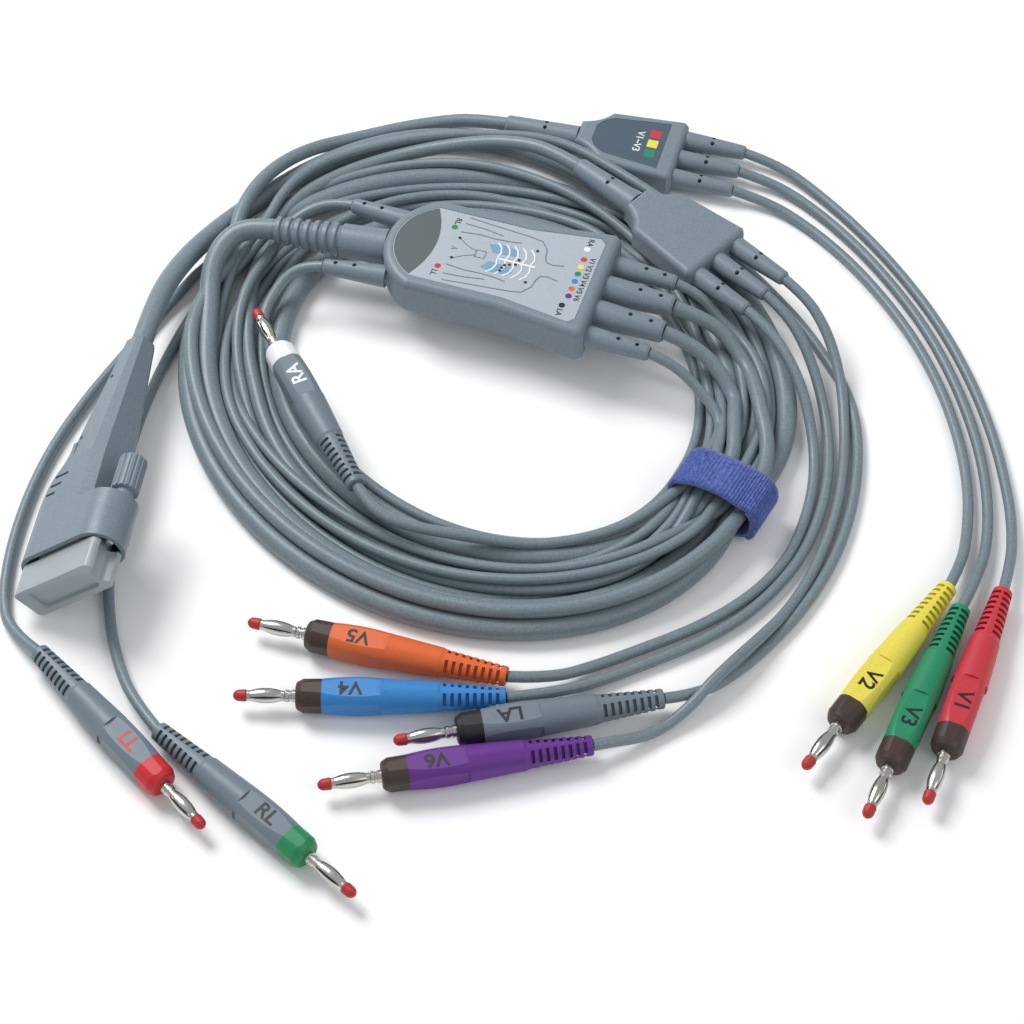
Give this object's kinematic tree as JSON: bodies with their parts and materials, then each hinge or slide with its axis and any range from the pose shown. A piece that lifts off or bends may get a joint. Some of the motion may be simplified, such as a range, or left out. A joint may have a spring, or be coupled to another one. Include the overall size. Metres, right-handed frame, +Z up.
{
  "type": "ecg patient cable",
  "caption": "ECG patient cable: D connector, trunk cable, main yoke, chest yokes and leads with banana plugs, coiled and held by a tape tie.",
  "frame": {"origin": "on the surface that the set lies on, under the middle of the box round the connector, the yokes and the tie", "axes": "+Z up from that surface, +X along the surface from the connector towards the chest plugs, +Y from the limb plugs towards the yokes"},
  "size_m": [0.3253, 0.3239, 0.0325],
  "materials": {
    "connector_hood": "satin moulded",
    "connector_core": "matte",
    "plated_steel": "bright nickel plate",
    "contact_gold": "gold flash",
    "insulator_black": "matte",
    "cap_translucent": "translucent white",
    "knob_grey": "satin moulded",
    "yoke_grey": "satin moulded",
    "label_print": "printed film",
    "boot_grey": "soft moulded",
    "board_green": "solder mask",
    "resistor_blue": "lacquer",
    "inlay_slate": "printed film",
    "grip_grey": "soft moulded",
    "grip_red": "soft moulded",
    "grip_yellow": "soft moulded",
    "grip_green": "soft moulded",
    "grip_blue": "soft moulded",
    "grip_orange": "soft moulded",
    "grip_purple": "soft moulded",
    "collar_brown": "satin",
    "collar_white": "satin",
    "collar_black": "satin",
    "collar_green": "satin",
    "collar_red": "satin",
    "tip_red": "satin",
    "ferrule_tin": "tinned",
    "cable_jacket": "smooth jacket",
    "tie_blue": "hook and loop tape"
  },
  "bodies": {
    "cable_set": {"connector_hood": "connector_hood", "connector_inner_block": "connector_core", "dsub_shell": "plated_steel", "dsub_insulator": "insulator_black", "dsub_pins": "contact_gold", "yoke_upper_shell": "yoke_grey", "yoke_lower_shell": "yoke_grey", "yoke_label": "label_print", "yoke_trunk_boot": "boot_grey", "yoke_lead_boots": "boot_grey", "yoke_branch_boots": "boot_grey", "yoke_circuit_board": "board_green", "yoke_resistors": "resistor_blue", "v13_yoke_body": "yoke_grey", "v13_inlay": "inlay_slate", "v13_inlet_boot": "boot_grey", "v13_outlet_boots": "boot_grey", "v46_yoke_body": "yoke_grey", "v46_inlay": "inlay_slate", "v46_inlet_boot": "boot_grey", "v46_outlet_boots": "boot_grey", "ra_grip": "grip_grey", "la_grip": "grip_grey", "rl_grip": "grip_grey", "ll_grip": "grip_grey", "v1_grip": "grip_red", "v2_grip": "grip_yellow", "v3_grip": "grip_green", "v4_grip": "grip_blue", "v5_grip": "grip_orange", "v6_grip": "grip_purple", "ra_collar": "collar_white", "la_collar": "collar_black", "rl_collar": "collar_green", "ll_collar": "collar_red", "chest_collars": "collar_brown", "banana_pins": "plated_steel", "banana_springs": "plated_steel", "pin_tips": "tip_red", "plug_ferrules": "ferrule_tin", "cable_coil": "cable_jacket", "cable_tie": "tie_blue", "trunk_cable": "cable_jacket", "branch_v13": "cable_jacket", "branch_v46": "cable_jacket", "lead_ra": "cable_jacket", "lead_la": "cable_jacket", "lead_rl": "cable_jacket", "lead_ll": "cable_jacket", "lead_v1": "cable_jacket", "lead_v2": "cable_jacket", "lead_v3": "cable_jacket", "lead_v4": "cable_jacket", "lead_v5": "cable_jacket", "lead_v6": "cable_jacket"},
    "dust_cap": {"dust_cap": "cap_translucent"},
    "screw_clip": {"jackscrew_clip": "plated_steel"},
    "thumbscrew": {"thumbscrew_knob": "knob_grey", "jackscrew": "plated_steel"}
  },
  "joints": [
    {"name": "dust_cap_pull", "type": "slide", "parent": "cable_set", "child": "dust_cap", "axis": [-0.1478, -0.989, 0], "range_m": [0, 0.007]},
    {"name": "jackscrew_float", "type": "slide", "parent": "cable_set", "child": "screw_clip", "axis": [0.1478, 0.989, 0], "range_m": [0, 0.0025]},
    {"name": "thumbscrew_turn", "type": "hinge", "parent": "screw_clip", "child": "thumbscrew", "pos_m": [-0.09429, -0.09939, 0.027], "axis": [0.1478, 0.989, 0], "continuous": true}
  ]
}
